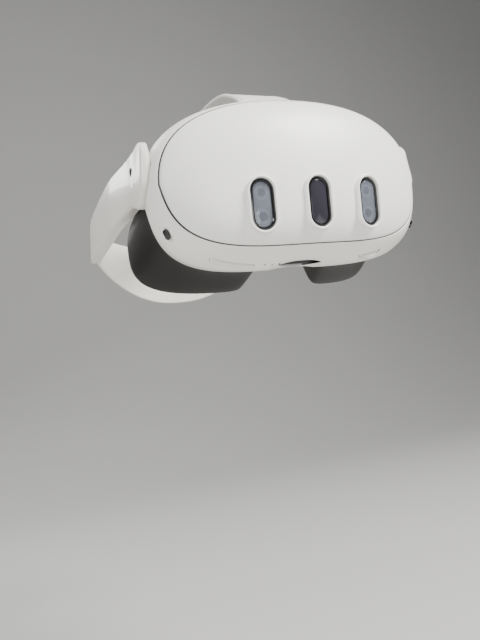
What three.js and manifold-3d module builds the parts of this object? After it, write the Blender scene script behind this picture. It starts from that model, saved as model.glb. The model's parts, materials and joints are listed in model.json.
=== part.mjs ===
// A stand-alone VR headset: a domed visor with camera windows, a soft face cushion, two rigid side arms and a strap loop.
// Millimetres. +X is the wearer's left, -Y is where the wearer looks, +Z is up.
// The origin is the centre of the face seat, where the cushion's contact surface crosses the middle plane.
import * as THREE from "three";
import { mergeVertices } from "three/addons/utils/BufferGeometryUtils.js";
import Module from "manifold-3d";

const wasm = await Module();
wasm.setup();

// ---- Driving dimensions -------------------------------------------------------------------------------------------
const FACE_SEAT_BEHIND_RIM = 60; // from the visor's rim plane to the face seat
const GAP = 0.35; // between pieces that touch
const SEAM = 0.6; // shadow line round the front cover

// The visor's outline: a superellipse that is fuller below, and narrows a little towards its lower edge.
const VISOR = {
  half_width: 87.2,
  top: 50.35,
  bottom: 45.75,
  round_top: 2.585,
  round_bottom: 3.59,
  narrowing: 0.076,
};
// The dome on it: how deep, how flat in the middle, how tightly rolled at the rim, and its lean towards the top.
const DOME = { depth: 22.5, flat: 5.38, roll: 2.26, lean: 0.157 };
const BOW = { across: 0.0019, up: 0.003 }; // the rim plane bows back to follow the face
const COVER_SHARE = { side: 0.9377, end: 0.868 }; // where the front cover ends, as a share of the outline
const COVER_WALL = 2.2;
const HOUSING_DEPTH = 16; // behind the rim
const CAVITY_HALF_WIDTH = 80.4;

// Camera windows: three upright pills, low on the cover.
const WINDOW = {
  x: 33,
  z: -16.65,
  width: 13.5,
  height: 27.7,
  rim: 1.5,
  rim_height: 0.9,
  ring: 1.15,
  slope: -0.14,
};
const CAMERA = { radius: 4.1, spacing: 12.6 };

// The arms turn on pins at the visor's sides.
const PIVOT = { y: 23.5, z: 14.5, reach: 18, square_top: 3.2, square_low: 2.4, pin: 3 };
const POCKET = { face: 82.9, gap: 1 }; // its flat floor's distance from the middle plane, and its play round the arm
const ARM = { rear: 200, front_half_width: 88.7, half_width: 91.5, wall: 1.8, flange: 1.5, lean: 0.09 };
const ARM_DEPTH = { front: 5.4, rear: 6.2 };
const LOOP = { start: 150, depth: 135, roundness: 3.5 }; // how the arms' rear ends turn in
const STRAP = { leg: 87, thickness: 2.1, front: 124, turn: 188, back: 268, roundness: 2.5, slide: 22 };
const TOP_STRAP = { half_width: 19, thickness: 2 };

// Optics.
const EYE = { x: 32, travel: 3, radius: 24.5, bore: 22.4, front: 9.5, rear: 30 };
const IPD = { x: 40.5, z: -35.9, y: 2, radius: 9, width: 3.4, pinion: 2.6, pinion_y: 12.5, link_z: 34.5 };

// The face cushion: an outline that is widest low down, and a contact edge that bows back to the temples.
const FACE = { half_width: 87.6, centre_z: -15, top: 60, bottom: 36, round_top: 1.95, round_bottom: 3.3 };
const FACE_EDGE = { middle: 47, temple: 80, lip: 13, wall: 3 };
const NOSE_ARCH = { half_width: 21, front: 5.5, rear: 25, steepness: 12 };

const group = new THREE.Group();
// Everything is set out from the visor's rim plane, then moved so that the face seat is the origin.
const visor_frame = new THREE.Group();
visor_frame.position.y = -FACE_SEAT_BEHIND_RIM;
group.add(visor_frame);

// ---- Materials ----------------------------------------------------------------------------------------------------
const finish = (color, roughness, metalness = 0) => ({ color, roughness, metalness });
const FINISH = {
  white: finish(0xe6e6e1, 0.45),
  warm_white: finish(0xdfdcd6, 0.5),
  black: finish(0x141416, 0.35),
  glass: finish(0x6d7480, 0.1),
  dark_glass: finish(0x2d2a33, 0.1),
  lens: finish(0x20242c, 0.05),
  foam: finish(0x302c2a, 0.8),
  webbing: finish(0xcfcdc8, 0.85),
  board: finish(0x1f4a32, 0.6),
  metal: finish(0x9a9ca0, 0.4, 1),
  steel: finish(0xb9bbbe, 0.3, 1),
  cell: finish(0x2b2d31, 0.5),
};

// ---- Helpers ------------------------------------------------------------------------------------------------------
function solidOf(geometry) {
  const g = geometry.clone();
  for (const name of Object.keys(g.attributes)) if (name !== "position") g.deleteAttribute(name);
  const merged = mergeVertices(g, 1e-4);
  return new wasm.Manifold(
    new wasm.Mesh({
      numProp: 3,
      vertProperties: merged.attributes.position.array,
      triVerts: new Uint32Array(merged.index.array),
    }),
  );
}

function geometryOf(solid) {
  const mesh = solid.getMesh();
  return new THREE.BufferGeometry()
    .setAttribute("position", new THREE.BufferAttribute(mesh.vertProperties, 3))
    .setIndex(new THREE.BufferAttribute(mesh.triVerts, 1));
}

const cut = (base, ...tools) => tools.reduce((s, t) => s.subtract(solidOf(t)), base);
const join = (first, ...rest) => rest.reduce((s, g) => s.add(solidOf(g)), solidOf(first));

function addPart(name, shape, look, parent = visor_frame) {
  const geometry = shape.isBufferGeometry ? shape : geometryOf(shape);
  const mesh = new THREE.Mesh(geometry, new THREE.MeshStandardMaterial(look));
  mesh.name = name;
  parent.add(mesh);
  return mesh;
}

// Joins rings of points, each with the same count, into one closed surface. A lone point closes an end.
function loft(rings, closed = false) {
  const points = [];
  const starts = rings.map((ring) => {
    const start = points.length;
    points.push(...ring);
    return start;
  });
  const index = [];
  const strip = (a, b) => {
    const na = rings[a].length;
    const nb = rings[b].length;
    const count = Math.max(na, nb);
    for (let i = 0; i < count; i++) {
      const j = (i + 1) % count;
      const a0 = starts[a] + (na > 1 ? i : 0);
      const a1 = starts[a] + (na > 1 ? j : 0);
      const b0 = starts[b] + (nb > 1 ? i : 0);
      const b1 = starts[b] + (nb > 1 ? j : 0);
      if (na > 1) index.push(a0, a1, b1);
      if (nb > 1) index.push(a0, b1, b0);
    }
  };
  for (let k = 0; k + 1 < rings.length; k++) strip(k, k + 1);
  if (closed) strip(rings.length - 1, 0);
  const geometry = new THREE.BufferGeometry().setFromPoints(points);
  geometry.setIndex(index);
  return solidFacingOut(geometry);
}

// Turns a closed surface round if its faces point inwards.
function solidFacingOut(geometry) {
  let solid = solidOf(geometry);
  if (solid.volume() < 0) {
    const index = geometry.index.array;
    for (let i = 0; i < index.length; i += 3) [index[i + 1], index[i + 2]] = [index[i + 2], index[i + 1]];
    solid = solidOf(geometry);
  }
  return solid;
}

const middle = (ring) => [
  ring.reduce((sum, p) => sum.add(p), new THREE.Vector3()).divideScalar(ring.length),
];
const capped = (rings) => loft([middle(rings[0]), ...rings, middle(rings.at(-1))]);

// A box between two corners.
function block(x0, x1, y0, y1, z0, z1) {
  return new THREE.BoxGeometry(x1 - x0, y1 - y0, z1 - z0).translate((x0 + x1) / 2, (y0 + y1) / 2, (z0 + z1) / 2);
}
// A round bar along X, Y or Z.
function bar(axis, radius, from, to, u, v, sides = 20) {
  const g = new THREE.CylinderGeometry(radius, radius, to - from, sides);
  const mid = (from + to) / 2;
  if (axis === "x") return g.rotateZ(-Math.PI / 2).translate(mid, u, v);
  if (axis === "z") return g.rotateX(Math.PI / 2).translate(u, v, mid);
  return g.translate(u, mid, v);
}
// An upright pill, extruded forwards along -Y from y = back to y = front.
function pill(width, height, front, back, segments = 6) {
  const r = width / 2;
  const h = height / 2 - r;
  const shape = new THREE.Shape();
  shape.moveTo(r, -h);
  shape.lineTo(r, h);
  shape.absarc(0, h, r, 0, Math.PI);
  shape.lineTo(-r, -h);
  shape.absarc(0, -h, r, Math.PI, 2 * Math.PI);
  const g = new THREE.ExtrudeGeometry(shape, { depth: back - front, bevelEnabled: false, curveSegments: segments });
  return g.rotateX(Math.PI / 2).translate(0, back, 0);
}
// A plate with round corners in the XZ plane, between two Y planes.
function plate(x0, x1, z0, z1, radius, y0, y1) {
  const shape = new THREE.Shape();
  shape.moveTo(x0 + radius, z0);
  shape.lineTo(x1 - radius, z0);
  shape.absarc(x1 - radius, z0 + radius, radius, -Math.PI / 2, 0);
  shape.lineTo(x1, z1 - radius);
  shape.absarc(x1 - radius, z1 - radius, radius, 0, Math.PI / 2);
  shape.lineTo(x0 + radius, z1);
  shape.absarc(x0 + radius, z1 - radius, radius, Math.PI / 2, Math.PI);
  shape.lineTo(x0, z0 + radius);
  shape.absarc(x0 + radius, z0 + radius, radius, Math.PI, 1.5 * Math.PI);
  const g = new THREE.ExtrudeGeometry(shape, { depth: y1 - y0, bevelEnabled: false, curveSegments: 3 });
  return g.rotateX(Math.PI / 2).translate(0, y1, 0);
}
const steps = (n, from = 0, to = 1) => Array.from({ length: n + 1 }, (_, i) => from + ((to - from) * i) / n);
const smooth = (t) => {
  const c = Math.min(1, Math.max(0, t));
  return c * c * (3 - 2 * c);
};
const along = (y, y0, y1, v0, v1) => v0 + (v1 - v0) * smooth((y - y0) / (y1 - y0));

// ---- The visor's surfaces -----------------------------------------------------------------------------------------
const AROUND = 68;
const angles = steps(AROUND, 0, 2 * Math.PI).slice(0, -1);

// A point of the outline at an angle, as [x, z].
function outline(angle) {
  const c = Math.cos(angle);
  const s = Math.sin(angle);
  const power = 2 / (s >= 0 ? VISOR.round_top : VISOR.round_bottom);
  const reach = s >= 0 ? VISOR.top : VISOR.bottom;
  const z = reach * Math.sign(s) * Math.abs(s) ** power;
  const narrowed = 1 - (VISOR.narrowing * Math.max(0, -z)) / VISOR.bottom;
  return [VISOR.half_width * Math.sign(c) * Math.abs(c) ** power * narrowed, z];
}
const bow = (x, z) => BOW.across * x * x + BOW.up * z * z;
const domeHeight = (share) => DOME.depth * Math.max(0, 1 - share ** DOME.flat) ** (1 / DOME.roll);
// The outer surface at a share of the outline, moved back by a wall.
function domePoint(angle, share, back = 0) {
  const [ox, oz] = outline(angle);
  const x = ox * share;
  const z = oz * share;
  const height = domeHeight(share);
  return new THREE.Vector3(x, bow(x, z) - height + back, z + DOME.lean * height);
}
// A ring behind the rim: a scaled outline, so far behind the bowed rim plane.
function rimRing(scale, behind, limit = Infinity) {
  return angles.map((angle) => {
    const [ox, oz] = outline(angle);
    const x = Math.max(-limit, Math.min(limit, ox * scale));
    const z = oz * scale;
    return new THREE.Vector3(x, bow(ox, oz) + behind, z);
  });
}
const coverShare = (angle) => COVER_SHARE.side + (COVER_SHARE.end - COVER_SHARE.side) * Math.abs(Math.sin(angle));

// The frame of a camera window: on the dome, square to its surface.
function windowFrame(x) {
  const holder = new THREE.Object3D();
  holder.position.set(x, bow(x, WINDOW.z) - DOME.depth, WINDOW.z);
  const normal = new THREE.Vector3(2 * BOW.across * x, -1, WINDOW.slope).normalize();
  const side = new THREE.Vector3(1, 0, 0).addScaledVector(normal, -normal.x).normalize();
  const up = new THREE.Vector3().crossVectors(side, normal.clone().negate()).normalize();
  holder.matrix.makeBasis(side, normal.clone().negate(), up).setPosition(holder.position);
  return holder.matrix.clone();
}
const WINDOWS = { right: -WINDOW.x, centre: 0, left: WINDOW.x };
const SIDES = { left: 1, right: -1 };

// The whole outside of the visor as one solid, grown outwards or shrunk inwards.
function envelope(grow) {
  const k = 1 + grow / VISOR.bottom;
  const front = [0.3, 0.6, 0.8, 0.9, 0.96, 0.99, 1].map((share) =>
    angles.map((a) => {
      const p = domePoint(a, share);
      return new THREE.Vector3(p.x * k, p.y - grow, p.z * k);
    }),
  );
  const rear = [[0.997, 4], [0.983, 9], [0.95, HOUSING_DEPTH]].map(([scale, behind]) => rimRing(scale * k, behind));
  return loft([[domePoint(0, 0).add(new THREE.Vector3(0, -grow, 0))], ...front, ...rear, middle(rear.at(-1))]);
}

// ---- Front cover --------------------------------------------------------------------------------------------------
function frontCover() {
  const shares = [0.3, 0.58, 0.75, 0.86, 0.93, 1];
  const edge = (angle, k) => (coverShare(angle) - SEAM / 2 / VISOR.half_width) * k;
  const outer = shares.map((k) => angles.map((a) => domePoint(a, edge(a, k))));
  const inner = [1, 0.85, 0.5].map((k) => angles.map((a) => domePoint(a, edge(a, k), COVER_WALL)));
  let cover = loft([[domePoint(0, 0)], ...outer, ...inner, [domePoint(0, 0, COVER_WALL)]]);
  for (const x of Object.values(WINDOWS)) {
    const at = windowFrame(x);
    const rim = pill(WINDOW.width + 2 * WINDOW.rim, WINDOW.height + 2 * WINDOW.rim, -WINDOW.rim_height, 3.4);
    const hole = pill(WINDOW.width, WINDOW.height, -3, 8);
    cover = cover.add(solidOf(rim.applyMatrix4(at)));
    cover = cut(cover, hole.applyMatrix4(at));
  }
  return cover;
}
addPart("front_cover", frontCover(), FINISH.white);

// ---- Main housing -------------------------------------------------------------------------------------------------
const ROCKER = { x: -46, length: 25, y: 3.5, width: 2.6 };
const POWER = { y: 20, z: -13, length: 9, width: 3.6 };
const SIDE_CAMERA = { x: 80.6, y: 5, z: -24, width: 3.4, height: 6 };
const NOTCH = { half_width: 25, height: 3.6, roundness: 2.6 };
const between = (side, a, b) => [side * a, side * b].sort((u, v) => u - v);

// The nose notch in the visor's lower edge: an arch, extruded right through front to back.
function noseNotch() {
  const base = -VISOR.bottom;
  const shape = new THREE.Shape();
  shape.moveTo(-NOTCH.half_width, base - 12);
  for (const x of steps(14, -NOTCH.half_width, NOTCH.half_width)) {
    const share = Math.max(0, 1 - Math.abs(x / NOTCH.half_width) ** NOTCH.roundness);
    shape.lineTo(x, base - 1 + (NOTCH.height + 1) * share);
  }
  shape.lineTo(NOTCH.half_width, base - 12);
  const g = new THREE.ExtrudeGeometry(shape, { depth: 70, bevelEnabled: false });
  return g.rotateX(Math.PI / 2).translate(0, 40, 0);
}

// The frame of a tracking camera, low on the side of the shell.
function sideCameraFrame(side) {
  const normal = new THREE.Vector3(side * 0.8, -0.42, -0.42).normalize();
  const up = new THREE.Vector3(0, 0, 1).addScaledVector(normal, -normal.z).normalize();
  const across = new THREE.Vector3().crossVectors(normal.clone().negate(), up).normalize();
  return new THREE.Matrix4()
    .makeBasis(across, normal.clone().negate(), up)
    .setPosition(side * SIDE_CAMERA.x, SIDE_CAMERA.y, SIDE_CAMERA.z);
}

// The prisms that the rocker and the power button are cut from, and their slots in the shell.
const rockerPrism = (spare) =>
  plate(
    ROCKER.x - ROCKER.length / 2 - spare, ROCKER.x + ROCKER.length / 2 + spare,
    -ROCKER.width / 2 - spare, ROCKER.width / 2 + spare, ROCKER.width / 2 + spare - 0.01, 32, 50,
  ).rotateX(-Math.PI / 2).translate(0, ROCKER.y, 0);
const powerPrism = (spare) =>
  plate(
    POWER.y - POWER.length / 2 - spare, POWER.y + POWER.length / 2 + spare,
    POWER.z - POWER.width / 2 - spare, POWER.z + POWER.width / 2 + spare, POWER.width / 2 + spare - 0.01, -95, -77,
  ).rotateZ(Math.PI / 2);

// The pocket in the shell's side that an arm's front end turns in, cut once for each of three tilts.
const TILTS = [-2, 6, 14];
function armFront(t, reach, y = PIVOT.y) {
  const tall = (squareness) => reach * Math.max(0, 1 - t ** squareness) ** (1 / squareness);
  return { y: y - reach * t, low: PIVOT.z - tall(PIVOT.square_low), high: PIVOT.z + tall(PIVOT.square_top) };
}
function armPocket(side, tilt) {
  const shares = steps(14).map((t) => Math.sin((t * Math.PI) / 2));
  const front = shares.map((t) => armFront(t, PIVOT.reach + POCKET.gap));
  const shape = new THREE.Shape();
  shape.moveTo(60, front[0].low + 4);
  for (const { y, low } of front) shape.lineTo(y, low);
  for (const { y, high } of front.reverse().slice(1)) shape.lineTo(y, high);
  shape.lineTo(60, front.at(-1).high + 4);
  const g = new THREE.ExtrudeGeometry(shape, { depth: 12, bevelEnabled: false });
  g.rotateX(Math.PI / 2).rotateZ(Math.PI / 2); // the outline now lies in the YZ plane, and its depth runs along X
  g.translate(0, -PIVOT.y, -PIVOT.z).rotateX((tilt * Math.PI) / 180).translate(0, PIVOT.y, PIVOT.z);
  const [low, high] = bounds(g);
  return g.translate(side > 0 ? POCKET.face - low : -POCKET.face - high, 0, 0);
}
// Where a geometry begins and ends along X.
function bounds(g) {
  g.computeBoundingBox();
  return [g.boundingBox.min.x, g.boundingBox.max.x];
}

function mainHousing() {
  const start = (angle) => coverShare(angle) + SEAM / 2 / VISOR.half_width;
  const toRim = (k) => angles.map((a) => domePoint(a, start(a) + (1 - start(a)) * k));
  const outer = [0, 0.4, 0.75, 0.93, 1].map(toRim);
  const back = [
    rimRing(0.997, 4),
    rimRing(0.983, 9),
    rimRing(0.95, HOUSING_DEPTH),
    rimRing(0.915, HOUSING_DEPTH, CAVITY_HALF_WIDTH),
    rimRing(0.945, 4, CAVITY_HALF_WIDTH),
  ];
  const front_inner = angles.map((a) => domePoint(a, start(a), COVER_WALL + 1));
  let shell = cut(loft([...outer, ...back, front_inner], true), noseNotch());
  for (const side of Object.values(SIDES)) {
    const pin_hole = bar("x", PIVOT.pin + 0.3, ...between(side, 76, 90), PIVOT.y, PIVOT.z, 16);
    const camera = pill(SIDE_CAMERA.width + 0.7, SIDE_CAMERA.height + 0.7, -6, 2.2);
    const pockets = TILTS.map((tilt) => armPocket(side, tilt));
    shell = cut(shell, ...pockets, pin_hole, camera.applyMatrix4(sideCameraFrame(side)));
  }
  const slot_half = IPD.width / 2 + 0.5;
  const wheel_slot = bar("y", IPD.radius + 0.7, IPD.y - slot_half, IPD.y + slot_half, IPD.x, IPD.z, 32);
  const microphones = [-27, -22.5, -18].map((x) => bar("z", 0.55, -60, -38, x, 2.5, 8));
  return cut(shell, rockerPrism(0.4), powerPrism(0.4), wheel_slot, ...microphones);
}
addPart("main_housing", mainHousing(), FINISH.warm_white);

// A button that follows the shell's outside: a prism between two copies of the visor's envelope.
const surfaceButton = (prism, proud, deep) => envelope(proud).intersect(solidOf(prism)).subtract(envelope(-deep));
addPart("volume_rocker", surfaceButton(rockerPrism(0), 0.8, 1.6), FINISH.white);
addPart("power_button", surfaceButton(powerPrism(0), 0.9, 1.8), FINISH.white);
for (const [name, side] of Object.entries(SIDES)) {
  const body = pill(SIDE_CAMERA.width, SIDE_CAMERA.height, 0.35, 1.8).applyMatrix4(sideCameraFrame(side));
  addPart(`side_camera_${name}`, body, FINISH.black);
}

// ---- Camera windows and modules -----------------------------------------------------------------------------------
const fit = WINDOW.width - 2 * GAP;
const open_width = fit - 2 * WINDOW.ring;
for (const [name, x] of Object.entries(WINDOWS)) {
  const at = windowFrame(x);
  const outer = pill(fit, WINDOW.height - 2 * GAP, -0.1, 1.8).applyMatrix4(at);
  const hole = pill(open_width, WINDOW.height - 2 * GAP - 2 * WINDOW.ring, -2, 4).applyMatrix4(at);
  addPart(`window_ring_${name}`, cut(solidOf(outer), hole), FINISH.black);
  const glass_height = WINDOW.height - 4 * GAP - 2 * WINDOW.ring;
  const glass = pill(open_width - 2 * GAP, glass_height, -0.3, 1.2).applyMatrix4(at);
  addPart(`window_glass_${name}`, glass, x ? FINISH.glass : FINISH.dark_glass);
  if (x) {
    for (const [role, z] of [["colour", CAMERA.spacing / 2], ["tracking", -CAMERA.spacing / 2]]) {
      const lens = bar("y", CAMERA.radius, 1.7, 11, 0, z, 20);
      addPart(`${role}_camera_${name}`, lens.applyMatrix4(at), FINISH.black);
    }
  } else {
    addPart("depth_projector", pill(8, 21, 1.7, 12).applyMatrix4(at), FINISH.black);
  }
}

// ---- Inside the visor ---------------------------------------------------------------------------------------------
addPart("chassis", plate(-60, 60, -29, 34, 16, -6.2, -4.8), FINISH.metal);
const chips = [
  block(-12, 10, -2.8, -1.6, -20, -4),
  block(28, 44, -2.8, -1.6, 4, 22),
  block(-50, -38, -2.8, -1.6, -20, 0),
];
addPart("main_board", join(plate(-56, 56, -26, 31, 8, -4, -2.7), ...chips), FINISH.board);
const fins = steps(7, 24, 56).map((x) => block(x, x + 1.2, -0.1, 5.4, -4, 28));
addPart("heat_sink", join(block(24, 57.2, -1.2, 0, -4, 28), ...fins), FINISH.metal);
addPart("battery", plate(-58, -23, -24, 26, 4, -1, 5.8), FINISH.cell);

const FAN = { z: 16, radius: 16.5, front: -0.9, rear: 6.2 };
function fanHousing() {
  const well = bar("y", FAN.radius - 1.2, FAN.front + 1.2, FAN.rear + 2, 0, FAN.z, 32);
  const outlet = block(-8, 8, FAN.front + 1.2, FAN.rear + 2, FAN.z + 8, FAN.z + 20);
  return cut(solidOf(bar("y", FAN.radius, FAN.front, FAN.rear, 0, FAN.z, 32)), well, outlet);
}
addPart("fan_housing", fanHousing(), FINISH.black);
function fanRotor() {
  const hub = bar("y", 5.5, 1.2, 5.6, 0, 0, 20);
  const blades = steps(11).slice(1).map((t) => {
    const blade = new THREE.BoxGeometry(8.6, 3.6, 0.8).translate(9, 3.4, 0);
    return blade.rotateY(t * 2 * Math.PI);
  });
  return join(hub, ...blades).translate([0, 0, FAN.z]);
}
addPart("fan_rotor", fanRotor(), FINISH.black);

// The rear frame closes the visor behind, and lets the lens barrels through.
function rearFrame() {
  const behind = HOUSING_DEPTH - 4;
  const shares = [0.91, 0.5];
  const face = (extra) => shares.map((k) => angles.map((a) => {
    const [ox, oz] = outline(a);
    const x = Math.max(-75.8, Math.min(75.8, ox * k));
    return new THREE.Vector3(x, bow(ox * k, oz * k) * 0.9 + behind + extra, oz * k);
  }));
  const centre = (extra) => [new THREE.Vector3(0, behind + extra, 0)];
  const frame = loft([centre(0), ...face(0).reverse(), ...face(1.8), centre(1.8)]);
  const holes = Object.values(SIDES).map((side) => {
    const r = EYE.radius + 0.6;
    const x = side * EYE.x;
    return plate(x - r - EYE.travel, x + r + EYE.travel, -r, r, r - 0.01, -5, 60);
  });
  return cut(frame, ...holes, noseNotch());
}
addPart("rear_frame", rearFrame(), FINISH.black);
addPart("proximity_sensor", plate(-3.2, 3.2, 27, 31.5, 1.5, 17.2, 18.8), FINISH.dark_glass);
const SCREWS = [["top_left", 56, 27], ["top_right", -56, 27], ["low_left", 58, -27], ["low_right", -58, -27]];
for (const [name, x, z] of SCREWS) {
  const y = bow(x, z) * 0.9 + HOUSING_DEPTH - 4 + 3.2;
  const head = bar("y", 2.2, y, y + 1.4, x, z, 12);
  addPart(`frame_screw_${name}`, cut(solidOf(head), bar("y", 0.9, y + 0.6, y + 3, x, z, 6)), FINISH.steel);
}

const RAIL = { y: 9.3, z: 29.5, radius: 1.4 };
// Lens barrels, each with its display, its eyepiece and the racks that move it.
function barrel() {
  const { radius, bore, front, rear } = EYE;
  const lip = bore - 1.2;
  const profile = [[bore, front], [radius, front], [radius, rear], [lip, rear], [lip, rear - 1.6], [bore, rear - 1.6]];
  const points = [...profile, profile[0]].map(([r, y]) => new THREE.Vector2(r, y));
  return solidFacingOut(new THREE.LatheGeometry(points, 32));
}
function eyepiece() {
  const r = EYE.bore - GAP;
  const y = EYE.rear - 1.6 - GAP;
  const profile = [[0, y - 4], [r, y - 3], [r, y]];
  const cap = steps(4).map((t) => [(r - 1.6) * Math.cos((t * Math.PI) / 2), y + 2.6 * Math.sin((t * Math.PI) / 2)]);
  const points = [...profile, ...cap].map(([u, v]) => new THREE.Vector2(Math.max(0, u), v));
  points.at(-1).x = 0;
  return solidFacingOut(new THREE.LatheGeometry(points, 28));
}
addPart("lens_rail", bar("x", RAIL.radius, -60, 60, RAIL.y, RAIL.z, 10), FINISH.steel);
for (const [name, side] of Object.entries(SIDES)) {
  const x = side * EYE.x;
  addPart(`lens_barrel_${name}`, barrel().translate([x, 0, 0]), FINISH.black);
  addPart(`lens_${name}`, eyepiece().translate([x, 0, 0]), FINISH.lens);
  addPart(`display_${name}`, plate(x - 19, x + 19, -19, 19, 8, 6.9, 8.8), FINISH.dark_glass);
  const rail_hole = bar("x", RAIL.radius + 0.3, x - 9, x + 9, RAIL.y, RAIL.z, 10);
  const slider = cut(solidOf(block(x - 6, x + 6, RAIL.y - 2.4, RAIL.y + 2.4, 25, 33)), rail_hole);
  const above = side > 0;
  const bar_z = above ? IPD.link_z + IPD.pinion + GAP : IPD.link_z - IPD.pinion - GAP - 2.2;
  const [x0, x1] = between(side, -8, EYE.x + 4);
  const post = block(...between(side, EYE.x - 4, EYE.x + 4), 11, 14, 25, bar_z + 2.2);
  const parts = slider.add(join(block(x0, x1, 11, 14, bar_z, bar_z + 2.2), post));
  addPart(`link_rack_${name}`, parts, FINISH.metal);
}
function toothedWheel(radius, teeth, depth, from, to) {
  const shape = new THREE.Shape();
  steps(teeth * 4).slice(0, -1).forEach((t, i) => {
    const r = i % 4 < 2 ? radius : radius - depth;
    const angle = t * 2 * Math.PI;
    if (i) shape.lineTo(r * Math.cos(angle), r * Math.sin(angle));
    else shape.moveTo(r, 0);
  });
  const g = new THREE.ExtrudeGeometry(shape, { depth: to - from, bevelEnabled: false });
  return g.rotateX(Math.PI / 2).translate(0, to, 0);
}
const wheel = join(
  toothedWheel(IPD.radius, 28, 0.5, IPD.y - IPD.width / 2, IPD.y + IPD.width / 2),
  bar("y", 1.2, IPD.y, IPD.pinion_y + 2, 0, 0, 12),
  toothedWheel(IPD.pinion, 10, 0.6, IPD.pinion_y - 1.5, IPD.pinion_y + 1.5),
);
addPart("ipd_wheel", wheel.translate([IPD.x, 0, IPD.z]), FINISH.white);
addPart("ipd_pinion", toothedWheel(IPD.pinion, 10, 0.6, 11, 14).translate(0, 0, IPD.link_z), FINISH.metal);
const drive_z = IPD.z + IPD.pinion + GAP;
const drive = join(
  block(IPD.x - 14, IPD.x + 9, 11, 14, drive_z, drive_z + 2.2),
  block(EYE.x - 4, EYE.x + 4, 11, 14, drive_z, -25),
);
addPart("drive_rack", drive, FINISH.metal);

// ---- Face cushion and its frame -----------------------------------------------------------------------------------
function noseLift(x, inset, arch) {
  return arch / (1 + Math.abs(x / (NOSE_ARCH.half_width + inset)) ** NOSE_ARCH.steepness);
}
// A point of the cushion's outline, pulled in by an inset and lifted over the nose by an arch.
function faceOutline(angle, inset, arch) {
  const c = Math.cos(angle);
  const s = Math.sin(angle);
  const power = 2 / (s >= 0 ? FACE.round_top : FACE.round_bottom);
  const reach = s >= 0 ? FACE.top : FACE.bottom;
  const x = (FACE.half_width - inset) * Math.sign(c) * Math.abs(c) ** power;
  const drop = (reach - inset) * Math.sign(s) * Math.abs(s) ** power;
  return [x, FACE.centre_z + drop + noseLift(x, inset, arch) * Math.max(0, -drop / reach)];
}
const faceEdge = (x) => FACE_EDGE.middle + (FACE_EDGE.temple - FACE_EDGE.middle) * (x / FACE.half_width) ** 2;
// A ring between the visor's rear (share 0) and the contact edge (share 1).
function faceRing(share, inset, extra = 0) {
  return face_angles.map((a) => {
    const [vx, vz] = outline(a).map((v) => v * 0.93);
    const arch = NOSE_ARCH.front + (NOSE_ARCH.rear - NOSE_ARCH.front) * share;
    const [fx, fz] = faceOutline(a, inset, arch);
    const sx = vx * (1 - inset / VISOR.half_width);
    const sz = vz * (1 - inset / VISOR.bottom) + (vz < 0 ? noseLift(vx, inset, NOSE_ARCH.front) : 0);
    const swell = smooth(share);
    const start = bow(vx, vz) * 1.1 + HOUSING_DEPTH + 1.2;
    const y = start + (faceEdge(fx) - start) * share + extra;
    return new THREE.Vector3(sx + (fx - sx) * swell, y, sz + (fz - sz) * swell);
  });
}
const FACE_AROUND = 56;
// Evenly spaced angles, with more across the nose arch, where the outline turns fastest.
const bottom = 1.5 * Math.PI;
const arch_turns = [1.2, 2.4, 3.3, 4, 4.6, 5.4, 6.6].map((degrees) => (degrees * Math.PI) / 180);
const outside_arch = (a) => Math.abs(a - bottom) > arch_turns.at(-1) + 0.02 || Math.abs(a - bottom) < 0.001;
const face_angles = [
  ...steps(FACE_AROUND, 0, 2 * Math.PI).slice(0, -1).filter(outside_arch),
  ...arch_turns.flatMap((a) => [bottom - a, bottom + a]),
].sort((a, b) => a - b);
const cushion = loft(
  [
    faceRing(0, 0), faceRing(0.35, 0), faceRing(0.7, 0), faceRing(0.93, 0), faceRing(1, 2.5, 0.6),
    faceRing(1, 7, 0.8), faceRing(0.94, FACE_EDGE.lip), faceRing(0.72, FACE_EDGE.wall),
    faceRing(0.35, FACE_EDGE.wall), faceRing(0, FACE_EDGE.wall),
  ],
  true,
);
addPart("face_cushion", cushion, FINISH.foam);
const frame_out = FACE_EDGE.wall + 1.9;
const frame_in = frame_out + 2;
const face_frame = loft(
  [
    faceRing(0.02, frame_out), faceRing(0.35, frame_out), faceRing(0.62, frame_out),
    faceRing(0.62, frame_in), faceRing(0.35, frame_in), faceRing(0.02, frame_in),
  ],
  true,
);
addPart("face_frame", face_frame, FINISH.black);

// ---- Arms ---------------------------------------------------------------------------------------------------------
const ARM_TOP = [[24, 32.5], [45, 35], [70, 38.2], [95, 41], [125, 43], [150, 44], [200, 44.6]];
const ARM_LOW = [[24, -3.5], [38, 2.2], [65, 4.6], [90, 5.6], [125, 6.8], [160, 8], [200, 9.6]];
function follow(table, y) {
  const k = table.findIndex(([at]) => at >= y);
  if (k <= 0) return k ? table.at(-1)[1] : table[0][1];
  const [[y0, z0], [y1, z1]] = [table[k - 1], table[k]];
  return z0 + ((z1 - z0) * (y - y0)) / (y1 - y0);
}
// Heights of the arm's upper and lower edges: a rounded square round the pivot, then a rising band.
function armEdges(y) {
  if (y > PIVOT.y) return [follow(ARM_LOW, y), follow(ARM_TOP, y)];
  const { low, high } = armFront((PIVOT.y - y) / PIVOT.reach, PIVOT.reach);
  return [low, high];
}
const ARM_FRONT = PIVOT.y - PIVOT.reach;
const FRONT_ROUND = 3.6;
function armOutside(y) {
  if (y > LOOP.start) {
    const share = (y - LOOP.start) / LOOP.depth;
    return ARM.half_width * (1 - share ** LOOP.roundness) ** (1 / LOOP.roundness);
  }
  const into = Math.max(0, FRONT_ROUND - (y - ARM_FRONT));
  const rounded = FRONT_ROUND - Math.sqrt(FRONT_ROUND ** 2 - into ** 2);
  return along(y, 38, 100, ARM.front_half_width, ARM.half_width) - rounded;
}
const armDepth = (y) => along(y, 40, 72, ARM_DEPTH.front, ARM_DEPTH.rear);
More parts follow.
